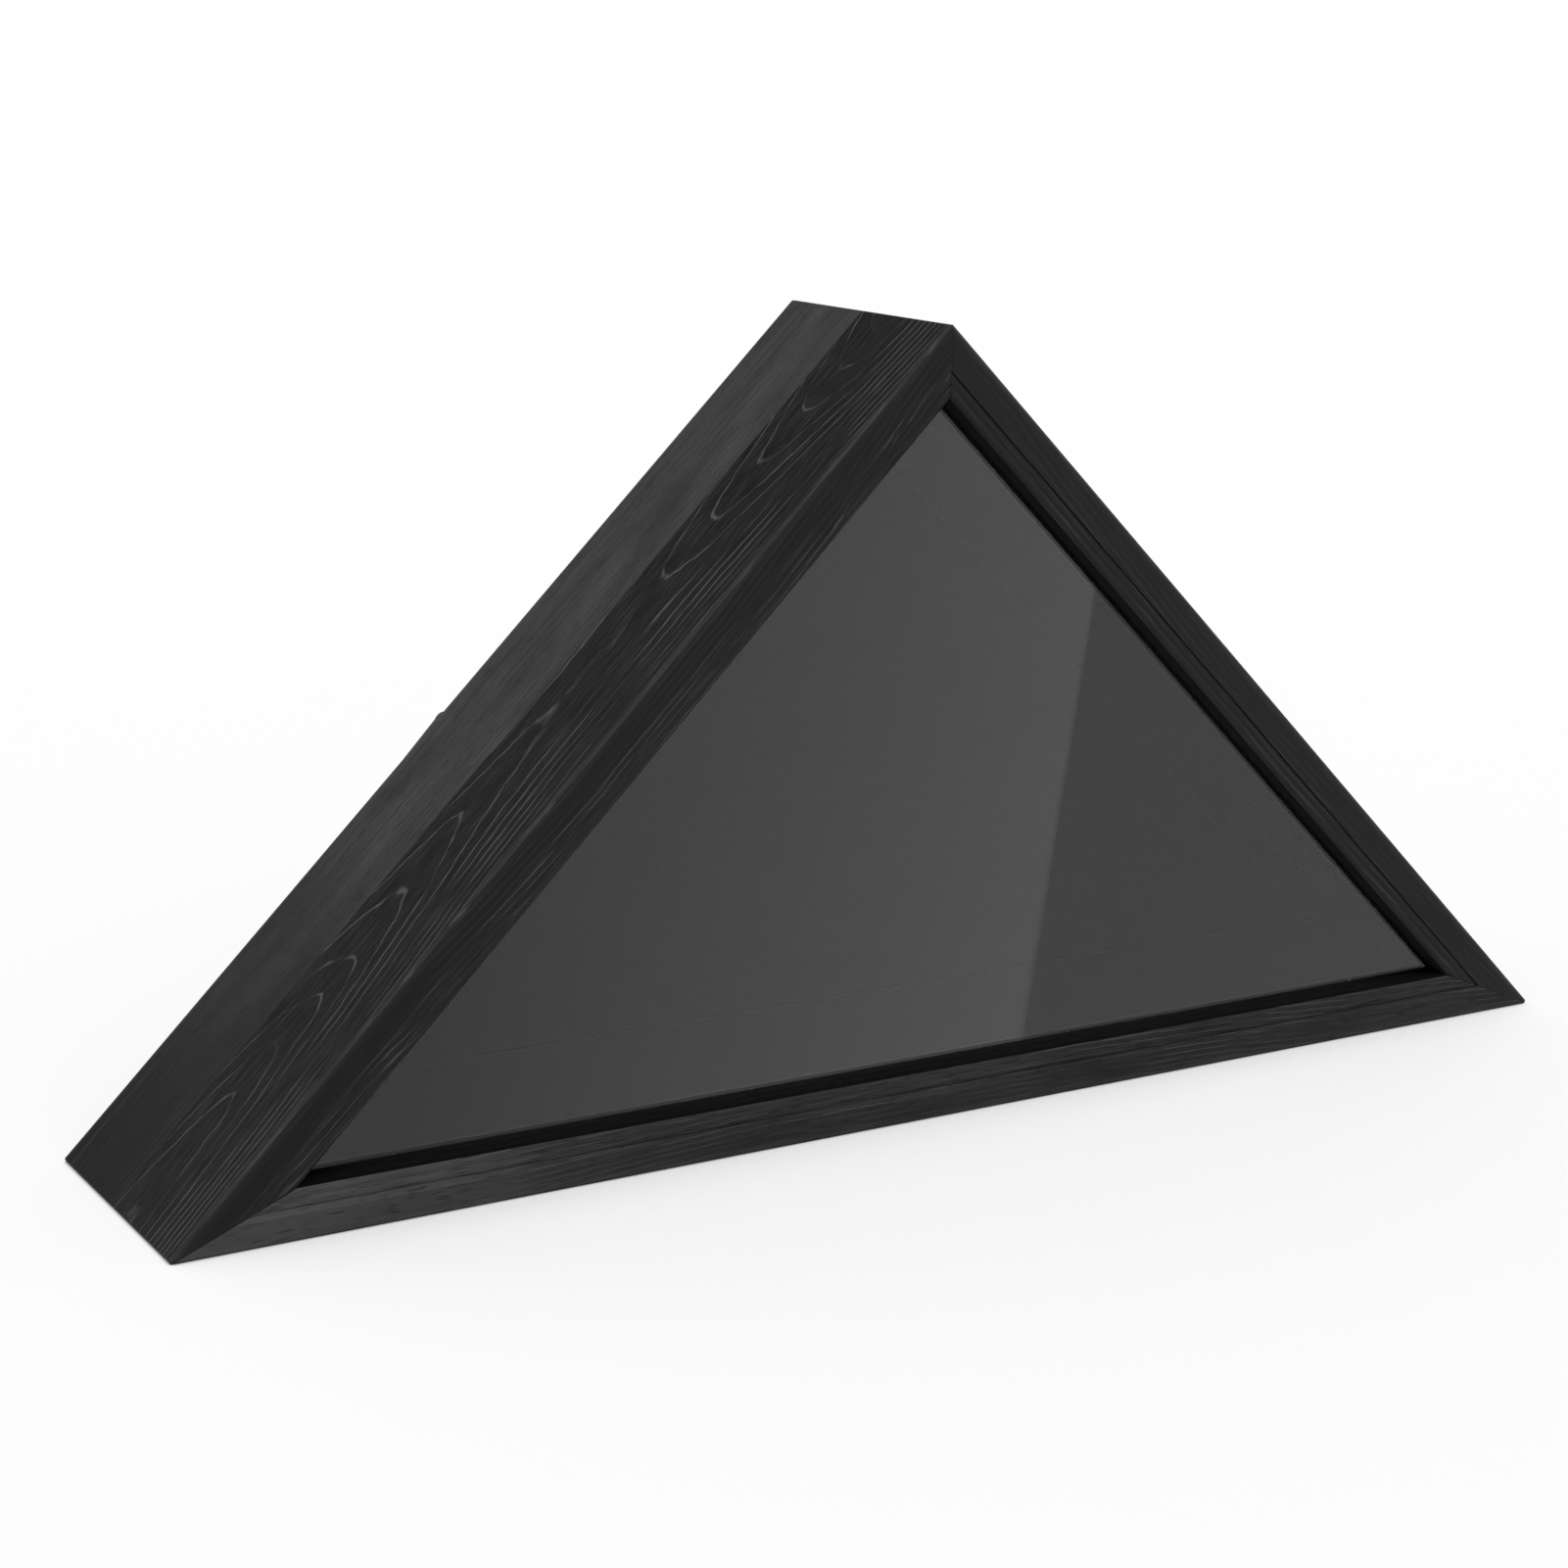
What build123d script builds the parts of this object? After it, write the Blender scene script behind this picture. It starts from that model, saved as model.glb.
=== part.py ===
from build123d import *
import math
import os

# A triangular memorial display case. Three deep wooden rails are mitred into a triangle
# around a pane of glass, and a loose back panel is held by three turn buttons.
# Millimetres. X runs along the base, Y from the front to the rear, Z up.
# The origin is the middle of the underside of the base rail.

os.makedirs("parts", exist_ok=True)

# Wooden body
case_width = 440.0
case_height = 217.5
case_depth = 82.0
wall = 11.0
front_board_depth = 44.0
arris_radius = 0.8
corner_blunt = 0.5

# Moulded front, measured inwards from a rail's outer face
flat_width = 8.8
outer_bead_width = 2.6
inner_bead_width = 3.0
bead_sink = 0.15
quirk_depth = 0.45
lip_round = 1.7
lip_depth = 5.5

# Glass and the strips that hold it
glass_thickness = 2.0
glass_gap = 0.5
glass_corner_radius = 2.0
strip_width = 3.0
strip_depth = 8.0
strip_round = 0.8
brad_radius = 0.5
brad_length = 8.0
brad_spacing = 90.0
brad_end_margin = 30.0

# Keys and nails in the mitres
spline_thickness = 3.0
spline_length = 6.0
spline_width = 6.0
spline_gap = 0.1
v_nail_leg = 4.0
v_nail_thickness = 0.6
v_nail_height = 8.0
v_nail_sink = 0.3

# Back panel, its rebate and its lining
panel_thickness = 5.0
panel_gap = 0.8
panel_seat_gap = 0.2
panel_inset = 0.5
panel_corner_radius = 3.0
rebate_width = 3.5
lining_thickness = 1.5
lining_gap = 1.5
lining_corner_radius = 2.0

# Apex block
block_depth = 18.0
block_step = 6.0
nail_margin = 1.5

# Turn buttons, their washers and screws
button_pivot_radius = 3.4
button_tail_radius = 2.8
button_tail_reach = 16.0
button_thickness = 1.2
button_dimple_radius = 1.3
button_dimple_height = 0.5
button_edge_round = 0.25
turning_gap = 0.1
washer_radius = 3.2
washer_thickness = 0.5
screw_radius = 1.4
screw_head_radius = 2.8
screw_head_height = 1.3
screw_grip = 12.0
screw_recess_depth = 0.8
screw_recess_width = 0.6
screw_recess_span = 3.2
screw_gap = 0.1

# Sawtooth hanger and its nails
hanger_width = 34.0
hanger_height = 8.0
hanger_thickness = 0.8
hanger_stand_off = 1.6
hanger_tab = 6.0
hanger_bend = 2.0
hanger_lift = 5.0
tooth_pitch = 2.0
tooth_depth = 1.2
tooth_count = 8
nail_radius = 0.7
nail_head_radius = 1.6
nail_head_height = 0.5
nail_grip = 9.0
nail_gap = 0.05

# Wall bumpers
bumper_radius = 3.3
bumper_margin = 0.6
bumper_inset = 70.0

# Places that follow from the sizes above
sight_edge = flat_width + outer_bead_width + inner_bead_width
land = wall - rebate_width
rebate_depth = panel_inset + panel_thickness + panel_seat_gap
rear_board_depth = case_depth - front_board_depth
front_y = -case_depth / 2
rear_y = case_depth / 2
seat_y = rear_y - rebate_depth
slope = math.atan2(case_height, case_width / 2)
names = ["left", "right", "base"]
corners = [
    Vector(-case_width / 2, 0, 0),
    Vector(0, 0, case_height),
    Vector(case_width / 2, 0, 0),
]
lengths = [(corners[(i + 1) % 3] - corners[i]).length for i in range(3)]
along = [(corners[(i + 1) % 3] - corners[i]).normalized() for i in range(3)]
inward = [Vector(0, 1, 0).cross(direction) for direction in along]


def rail_plane(i, depth=0.0):
    """Section plane of rail i at its first corner: x runs inwards and y runs rearwards."""
    return Plane(
        origin=corners[i] + Vector(0, front_y + depth, 0),
        x_dir=inward[i],
        z_dir=along[i],
    )


def bisector(i):
    """Direction from corner i into the case, halfway between its two rails."""
    return (along[i] - along[i - 1]).normalized()


def mitre_plane(i):
    """Plane of the mitre at corner i, facing the rail that starts there."""
    return Plane(origin=corners[i], x_dir=bisector(i), z_dir=along[i] + along[i - 1])


def tip_plane(i):
    """Plane that blunts the sharp outer edge at corner i, facing into the case."""
    middle = bisector(i)
    reach = corner_blunt * middle.dot(along[i]) / middle.dot(inward[i])
    return Plane(origin=corners[i] + middle * reach, z_dir=middle)


def on_mitre(i, inset, y):
    """Point on the mitre at corner i that lies this far in from both outer faces."""
    reach = inset / bisector(i).dot(inward[i])
    return corners[i] + bisector(i) * reach + Vector(0, y, 0)


def half_width_at(height, inset):
    """Half the width, at this height, of the triangle inset from the outer faces."""
    return ((case_height - height) * math.cos(slope) - inset) / math.sin(slope)


def apex_height(inset):
    """Height of the top of the triangle inset from the outer faces."""
    return case_height - inset / math.cos(slope)


def height_at(half_width, inset):
    """Height at which the triangle inset from the outer faces has this half width."""
    return apex_height(inset) - half_width * math.tan(slope)


def upright_plane(y):
    """Upright plane across the case at this depth, drawn in X and Z, facing the front."""
    return Plane.XZ.offset(-y)


def cropped_triangle(inset, low, top):
    """Corners of the inset triangle, cut off level at the top."""
    return [
        (-half_width_at(low, inset), low),
        (half_width_at(low, inset), low),
        (half_width_at(top, inset), top),
        (-half_width_at(top, inset), top),
    ]


def save(block, name):
    """Label a finished piece and write it out under its name."""
    block.part.label = name
    export_step(block.part, f"parts/{name}.step")


# Pivot of each turn button: the middle of the rail's rear edge. The tail of the left one
# points down its rail, and the others follow the case's mirror symmetry as far as they can.
tail_sense = [-1, 1, 1]
pivots = [
    corners[i] + along[i] * (lengths[i] / 2) + inward[i] * (land / 2) for i in range(3)
]


def pivot_plane(i, y):
    """Plane on the turn button's pivot: x runs out along the tail, z runs rearwards."""
    return Plane(
        origin=pivots[i] + Vector(0, y, 0),
        x_dir=along[i] * tail_sense[i],
        z_dir=(0, 1, 0),
    )


def spline_plane(i, y):
    """Plane through the middle of mitre i: x runs along the mitre, z runs rearwards."""
    return Plane(origin=on_mitre(i, wall / 2, y), x_dir=bisector(i), z_dir=(0, 1, 0))


def v_nail_plane(i):
    """Plane on the rear edge at mitre i, with z running rearwards."""
    return Plane(origin=on_mitre(i, land / 2, rear_y), x_dir=bisector(i), z_dir=(0, 1, 0))


def brad_planes(i):
    """Planes on the inner face of glass strip i, one for each brad, facing outwards."""
    inset = wall + strip_width
    first = on_mitre(i, inset, 0)
    last = on_mitre((i + 1) % 3, inset, 0)
    clear = (last - first).length - 2 * brad_end_margin
    gaps = max(1, round(clear / brad_spacing))
    y = front_y + lip_depth + glass_thickness + strip_depth / 2
    places = [brad_end_margin + clear * n / gaps for n in range(gaps + 1)]
    return [
        Plane(
            origin=first + along[i] * place + Vector(0, y, 0),
            x_dir=(0, 1, 0),
            z_dir=inward[i] * -1,
        )
        for place in places
    ]


spline_depths = [
    front_y + (lip_depth + front_board_depth) / 2,
    rear_y - (rear_board_depth + rebate_depth) / 2,
]
nail_reach = hanger_width / 2 - hanger_tab / 2
hanger_middle = height_at(nail_reach + nail_radius + nail_margin, wall)
hanger_low = hanger_middle - hanger_height / 2
block_step_top = hanger_low - hanger_lift
block_bottom = block_step_top - block_step


# Rails: each is a front board with the moulded lip, edge glued to a plain rear board
for i in range(3):
    with BuildPart() as front_board:
        with BuildSketch(rail_plane(i)):
            with BuildLine():
                quirk = flat_width + outer_bead_width
                Line((0, front_board_depth), (0, arris_radius))
                RadiusArc((0, arris_radius), (arris_radius, 0), arris_radius)
                Line((arris_radius, 0), (flat_width, 0))
                Line((flat_width, 0), (flat_width, quirk_depth))
                ThreePointArc(
                    (flat_width, quirk_depth),
                    (flat_width + outer_bead_width / 2, bead_sink),
                    (quirk, quirk_depth),
                )
                ThreePointArc(
                    (quirk, quirk_depth),
                    (quirk + inner_bead_width * 0.4, bead_sink),
                    (sight_edge, lip_round),
                )
                Line((sight_edge, lip_round), (sight_edge, lip_depth))
                Line((sight_edge, lip_depth), (wall, lip_depth))
                Line((wall, lip_depth), (wall, front_board_depth))
                Line((wall, front_board_depth), (0, front_board_depth))
            make_face()
        extrude(amount=lengths[i])
        split(bisect_by=mitre_plane(i), keep=Keep.TOP)
        split(bisect_by=mitre_plane((i + 1) % 3), keep=Keep.BOTTOM)
        for corner in (i, (i + 1) % 3):
            split(bisect_by=tip_plane(corner), keep=Keep.TOP)
            with BuildSketch(spline_plane(corner, spline_depths[0])):
                Rectangle(spline_length + 2 * spline_gap, spline_width + 2 * spline_gap)
            extrude(amount=spline_thickness / 2 + spline_gap, both=True, mode=Mode.SUBTRACT)
        with BuildSketch(*brad_planes(i)):
            Circle(brad_radius)
        extrude(amount=brad_length + brad_radius, mode=Mode.SUBTRACT)
    save(front_board, f"{names[i]}_front_board")

    with BuildPart() as rear_board:
        with BuildSketch(rail_plane(i, front_board_depth)):
            with BuildLine():
                Line((0, 0), (0, rear_board_depth - arris_radius))
                RadiusArc(
                    (0, rear_board_depth - arris_radius),
                    (arris_radius, rear_board_depth),
                    -arris_radius,
                )
                Polyline(
                    (arris_radius, rear_board_depth),
                    (land, rear_board_depth),
                    (land, rear_board_depth - rebate_depth),
                    (wall, rear_board_depth - rebate_depth),
                    (wall, 0),
                    (0, 0),
                )
            make_face()
        extrude(amount=lengths[i])
        split(bisect_by=mitre_plane(i), keep=Keep.TOP)
        split(bisect_by=mitre_plane((i + 1) % 3), keep=Keep.BOTTOM)
        for corner in (i, (i + 1) % 3):
            split(bisect_by=tip_plane(corner), keep=Keep.TOP)
            with BuildSketch(spline_plane(corner, spline_depths[1])):
                Rectangle(spline_length + 2 * spline_gap, spline_width + 2 * spline_gap)
            extrude(amount=spline_thickness / 2 + spline_gap, both=True, mode=Mode.SUBTRACT)
            with BuildSketch(v_nail_plane(corner)):
                with BuildLine():
                    Polyline((v_nail_leg, v_nail_leg), (0, 0), (v_nail_leg, -v_nail_leg))
                trace(line_width=v_nail_thickness)
            extrude(amount=-v_nail_height - v_nail_sink, mode=Mode.SUBTRACT)
        with BuildSketch(pivot_plane(i, rear_y)):
            Circle(screw_radius + screw_gap)
        extrude(amount=-screw_grip - screw_gap, mode=Mode.SUBTRACT)
    save(rear_board, f"{names[i]}_rear_board")


# Loose splines, glued across the middle of each mitre in both boards
with BuildPart() as mitre_splines:
    for corner in range(3):
        for y in spline_depths:
            with BuildSketch(spline_plane(corner, y)):
                Rectangle(spline_length, spline_width)
            extrude(amount=spline_thickness / 2, both=True)
save(mitre_splines, "mitre_splines")


# V-shaped steel nails, pressed across the mitres from the rear edge
with BuildPart() as mitre_v_nails:
    for corner in range(3):
        with BuildSketch(v_nail_plane(corner).offset(-v_nail_sink)):
            with BuildLine():
                Polyline((v_nail_leg, v_nail_leg), (0, 0), (v_nail_leg, -v_nail_leg))
            trace(line_width=v_nail_thickness)
        extrude(amount=-v_nail_height)
save(mitre_v_nails, "mitre_v_nails")


# Apex block: fills the top of the case behind the panel's seat, and the rebate above it.
# It hangs low enough for the hanger's nails to have their margin of wood on each side.
with BuildPart() as apex_block:
    with BuildSketch(upright_plane(seat_y)):
        with BuildLine():
            Polyline(
                (-half_width_at(block_bottom, wall), block_bottom),
                (half_width_at(block_bottom, wall), block_bottom),
                (0, apex_height(wall)),
                close=True,
            )
        make_face()
    extrude(amount=block_depth - rebate_depth)
    with BuildSketch(upright_plane(rear_y)):
        with BuildLine():
            Polyline(
                (-half_width_at(block_step_top, land), block_step_top),
                (half_width_at(block_step_top, land), block_step_top),
                (0, apex_height(land)),
                close=True,
            )
        make_face()
    extrude(amount=rebate_depth)
    with BuildSketch(upright_plane(rear_y)):
        with Locations((-nail_reach, hanger_middle), (nail_reach, hanger_middle)):
            Circle(nail_radius + nail_gap)
    extrude(amount=nail_grip + nail_gap, mode=Mode.SUBTRACT)
save(apex_block, "apex_block")


# Glass pane, dropped in from the rear against the lip
glass_inset = wall + glass_gap
with BuildPart() as glass_pane:
    with BuildSketch(upright_plane(front_y + lip_depth + glass_thickness)):
        with BuildLine():
            Polyline(
                (-half_width_at(glass_inset, glass_inset), glass_inset),
                (half_width_at(glass_inset, glass_inset), glass_inset),
                (0, apex_height(glass_inset)),
                close=True,
            )
        make_face()
    extrude(amount=glass_thickness)
    fillet(glass_pane.edges().filter_by(Axis.Y), glass_corner_radius)
save(glass_pane, "glass_pane")


# Glass strips: one mitred strip along each rail, pinned behind the glass with brads
for i in range(3):
    with BuildPart() as glass_strip:
        with BuildSketch(rail_plane(i, lip_depth + glass_thickness)) as strip_section:
            with Locations((wall, 0)):
                Rectangle(strip_width, strip_depth, align=(Align.MIN, Align.MIN))
            inner_rear = strip_section.vertices().sort_by(Axis.X)[-2:].sort_by(Axis.Y)[-1]
            fillet(inner_rear, strip_round)
        extrude(amount=lengths[i])
        split(bisect_by=mitre_plane(i), keep=Keep.TOP)
        split(bisect_by=mitre_plane((i + 1) % 3), keep=Keep.BOTTOM)
        with BuildSketch(*brad_planes(i)):
            Circle(brad_radius)
        extrude(amount=strip_width, mode=Mode.SUBTRACT)
    save(glass_strip, f"{names[i]}_glass_strip")

with BuildPart() as glass_strip_brads:
    for i in range(3):
        with BuildSketch(*brad_planes(i)):
            Circle(brad_radius)
        extrude(amount=brad_length)
save(glass_strip_brads, "glass_strip_brads")


# Back panel: a loose board in the rear rebate, cut level below the apex block
panel_inset_line = land + panel_gap
panel_top = block_step_top - panel_gap
with BuildPart() as back_panel:
    with BuildSketch(upright_plane(rear_y - panel_inset)):
        with BuildLine():
            Polyline(*cropped_triangle(panel_inset_line, panel_inset_line, panel_top), close=True)
        make_face()
    extrude(amount=panel_thickness)
    fillet(back_panel.edges().filter_by(Axis.Y), panel_corner_radius)
save(back_panel, "back_panel")


# Lining: velvet-covered card glued to the inner face of the back panel
lining_inset = wall + lining_gap
lining_top = block_bottom - lining_gap
with BuildPart() as back_lining:
    with BuildSketch(upright_plane(rear_y - panel_inset - panel_thickness)):
        with BuildLine():
            Polyline(*cropped_triangle(lining_inset, lining_inset, lining_top), close=True)
        make_face()
    extrude(amount=lining_thickness)
    fillet(back_lining.edges().filter_by(Axis.Y), lining_corner_radius)
save(back_lining, "back_lining")


# Turn buttons: a stamped tail that swings in over the back panel
button_low = rear_y + turning_gap
button_top = button_low + button_thickness
for i in range(3):
    with BuildPart() as turn_button:
        with BuildSketch(pivot_plane(i, button_low)):
            Circle(button_pivot_radius)
            with Locations((button_tail_reach, 0)):
                Circle(button_tail_radius)
            make_hull()
            Circle(screw_radius + screw_gap, mode=Mode.SUBTRACT)
        extrude(amount=button_thickness)
        outer_rim = turn_button.faces().sort_by(Axis.Y)[-1].outer_wire().edges()
        fillet(outer_rim, button_edge_round)
        with BuildSketch(pivot_plane(i, button_top)):
            with Locations((button_tail_reach, 0)):
                Circle(button_dimple_radius)
        extrude(amount=button_dimple_height, taper=20)
    save(turn_button, f"{names[i]}_turn_button")


# Washers between the turn buttons and their screw heads
washer_low = button_top + turning_gap
washer_top = washer_low + washer_thickness
with BuildPart() as turn_button_washers:
    for i in range(3):
        with BuildSketch(pivot_plane(i, washer_low)):
            Circle(washer_radius)
            Circle(screw_radius + screw_gap, mode=Mode.SUBTRACT)
        extrude(amount=washer_thickness)
save(turn_button_washers, "turn_button_washers")


# Screws: a low domed head with a cross recess, and a plain shank for the threaded one
screw_head_top = washer_top + screw_head_height
with BuildPart() as turn_button_screws:
    for i in range(3):
        with BuildSketch(pivot_plane(i, washer_top)):
            Circle(screw_head_radius)
        extrude(amount=screw_head_height)
    domed_rims = turn_button_screws.edges().filter_by(GeomType.CIRCLE).group_by(Axis.Y)[-1]
    fillet(domed_rims, screw_head_height * 0.7)
    for i in range(3):
        with BuildSketch(pivot_plane(i, screw_head_top)):
            Rectangle(screw_recess_span, screw_recess_width)
            Rectangle(screw_recess_width, screw_recess_span)
        extrude(amount=-screw_recess_depth, taper=8, mode=Mode.SUBTRACT)
        with BuildSketch(pivot_plane(i, washer_top)):
            Circle(screw_radius)
        extrude(amount=-(washer_top - rear_y) - screw_grip)
save(turn_button_screws, "turn_button_screws")


# Sawtooth hanger: a steel strip raised off the wood, with teeth along its lower edge
with BuildPart() as sawtooth_hanger:
    raised = hanger_width / 2 - hanger_tab
    with BuildSketch(Plane.XY.offset(hanger_low)):
        with BuildLine():
            middle = rear_y + hanger_thickness / 2
            Polyline(
                (-hanger_width / 2, middle),
                (-raised, middle),
                (-raised + hanger_bend, middle + hanger_stand_off),
                (raised - hanger_bend, middle + hanger_stand_off),
                (raised, middle),
                (hanger_width / 2, middle),
            )
        trace(line_width=hanger_thickness)
    extrude(amount=hanger_height)
    tooth_line = upright_plane(rear_y + hanger_stand_off + 2 * hanger_thickness)
    with BuildSketch(tooth_line):
        with Locations((0, hanger_low)):
            with GridLocations(tooth_pitch, 1, tooth_count, 1):
                Polygon(
                    (-tooth_pitch / 2, 0),
                    (tooth_pitch / 2, 0),
                    (0, tooth_depth),
                    align=None,
                )
    extrude(amount=hanger_stand_off + 2 * hanger_thickness, mode=Mode.SUBTRACT)
    with BuildSketch(upright_plane(rear_y + hanger_thickness)):
        with Locations((-nail_reach, hanger_middle), (nail_reach, hanger_middle)):
            Circle(nail_radius + nail_gap)
    extrude(amount=hanger_thickness, mode=Mode.SUBTRACT)
save(sawtooth_hanger, "sawtooth_hanger")

with BuildPart() as hanger_nails:
    for side in (-1, 1):
        with BuildSketch(upright_plane(rear_y + hanger_thickness)):
            with Locations((side * nail_reach, hanger_middle)):
                Circle(nail_head_radius)
        extrude(amount=-nail_head_height)
        with BuildSketch(upright_plane(rear_y + hanger_thickness)):
            with Locations((side * nail_reach, hanger_middle)):
                Circle(nail_radius)
        extrude(amount=hanger_thickness + nail_grip)
save(hanger_nails, "hanger_nails")


# Wall bumpers: rubber domes on the base's rear edge, just higher than the screw heads
bumper_height = screw_head_top - rear_y + bumper_margin
bumper_reach = case_width / 2 - bumper_inset
for side, name in ((-1, "left_wall_bumper"), (1, "right_wall_bumper")):
    with BuildPart() as wall_bumper:
        with BuildSketch(upright_plane(rear_y)):
            with Locations((side * bumper_reach, land / 2)):
                Circle(bumper_radius)
        extrude(amount=-bumper_height)
        fillet(wall_bumper.edges().group_by(Axis.Y)[-1], bumper_radius * 0.45)
    save(wall_bumper, name)
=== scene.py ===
import math
import bmesh
import bpy
from mathutils import Matrix, Quaternion, Vector


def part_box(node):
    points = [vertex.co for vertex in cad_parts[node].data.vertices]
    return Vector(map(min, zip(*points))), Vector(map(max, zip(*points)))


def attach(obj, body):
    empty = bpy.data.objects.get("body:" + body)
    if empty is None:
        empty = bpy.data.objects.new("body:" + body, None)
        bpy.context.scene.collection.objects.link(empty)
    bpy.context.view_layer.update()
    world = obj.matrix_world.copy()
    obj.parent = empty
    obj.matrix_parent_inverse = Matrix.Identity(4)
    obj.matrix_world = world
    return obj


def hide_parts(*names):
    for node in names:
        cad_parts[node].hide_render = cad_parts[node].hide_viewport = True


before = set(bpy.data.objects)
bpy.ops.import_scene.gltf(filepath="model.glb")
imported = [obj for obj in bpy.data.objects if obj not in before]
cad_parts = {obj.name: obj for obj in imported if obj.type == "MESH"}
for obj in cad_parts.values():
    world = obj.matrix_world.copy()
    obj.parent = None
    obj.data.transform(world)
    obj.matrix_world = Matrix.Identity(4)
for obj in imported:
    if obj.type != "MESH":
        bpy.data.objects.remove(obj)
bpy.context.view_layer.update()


# Boards of the three mitred rails. Each rail is a front board with the moulded lip, edge
# glued to a plain rear board. They are flat-sawn oak, wire brushed, stained black and
# sealed with a thin satin lacquer.
CASE_WIDTH = 0.440
CASE_HEIGHT = 0.2175
SLOPE = math.atan2(CASE_HEIGHT, CASE_WIDTH / 2)
SIDE_LENGTH = CASE_WIDTH / 2 / math.cos(SLOPE)
HALF_FOOT = SLOPE / 2
HALF_APEX = math.pi / 2 - SLOPE
MM = 0.001
HALF_DEPTH_MM = 41

# The plain flat of the front face, and how far behind the foremost plane that face reaches
FRONT_FLAT_MM = 7
FRONT_SKIN_MM = 0.6

# Where each rail starts, and how far its length is turned about Y from the X axis
RAILS = {
    "left": ((-CASE_WIDTH / 2, 0, 0), -SLOPE),
    "right": ((0, 0, CASE_HEIGHT), SLOPE),
    "base": ((CASE_WIDTH / 2, 0, 0), math.pi),
}

# Half the corner angle at the start and at the end of each rail, and its length in mm
MITRES = {
    "left": (HALF_FOOT, HALF_APEX, SIDE_LENGTH / MM),
    "right": (HALF_APEX, HALF_FOOT, SIDE_LENGTH / MM),
    "base": (HALF_FOOT, HALF_FOOT, CASE_WIDTH / MM),
}


def linear(hex_colour):
    """Turn an sRGB hex colour such as #1c1c1c into linear RGBA."""
    channels = [int(hex_colour[i : i + 2], 16) / 255 for i in (1, 3, 5)]
    return [c / 12.92 if c <= 0.04045 else ((c + 0.055) / 1.055) ** 2.4 for c in channels] + [1]


def new_material(name):
    """A new material and its node tree, with nothing in the tree."""
    material = bpy.data.materials.new(name)
    material.use_nodes = True
    material.node_tree.nodes.clear()
    return material, material.node_tree


def add(tree, kind, inputs=None, **settings):
    """Add a node with its settings and inputs.

    An input is named, or numbered where a node has more of one name, as the colour Mix has
    in 6 and 7. It takes a value, a socket, or a node, of which it takes the first output.
    """
    node = tree.nodes.new("ShaderNode" + kind)
    for name, value in settings.items():
        setattr(node, name, value)
    for socket, value in (inputs or {}).items():
        if isinstance(value, bpy.types.Node):
            value = value.outputs[0]
        if isinstance(value, bpy.types.NodeSocket):
            tree.links.new(value, node.inputs[socket])
        else:
            node.inputs[socket].default_value = value
    return node


def dress(node, material):
    """Give a carried-over piece its material."""
    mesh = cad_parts[node].data
    mesh.materials.clear()
    mesh.materials.append(material)


def board_place(tree, rail):
    """Millimetres along the rail, rearwards, and outwards from the rail's outer face."""
    corner, turn = RAILS[rail]
    place = add(tree, "TexCoord")
    return add(
        tree,
        "Mapping",
        {
            "Vector": place.outputs["Object"],
            "Location": corner,
            "Rotation": (0, turn, 0),
            "Scale": (MM, MM, MM),
        },
        vector_type="TEXTURE",
    )


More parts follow.
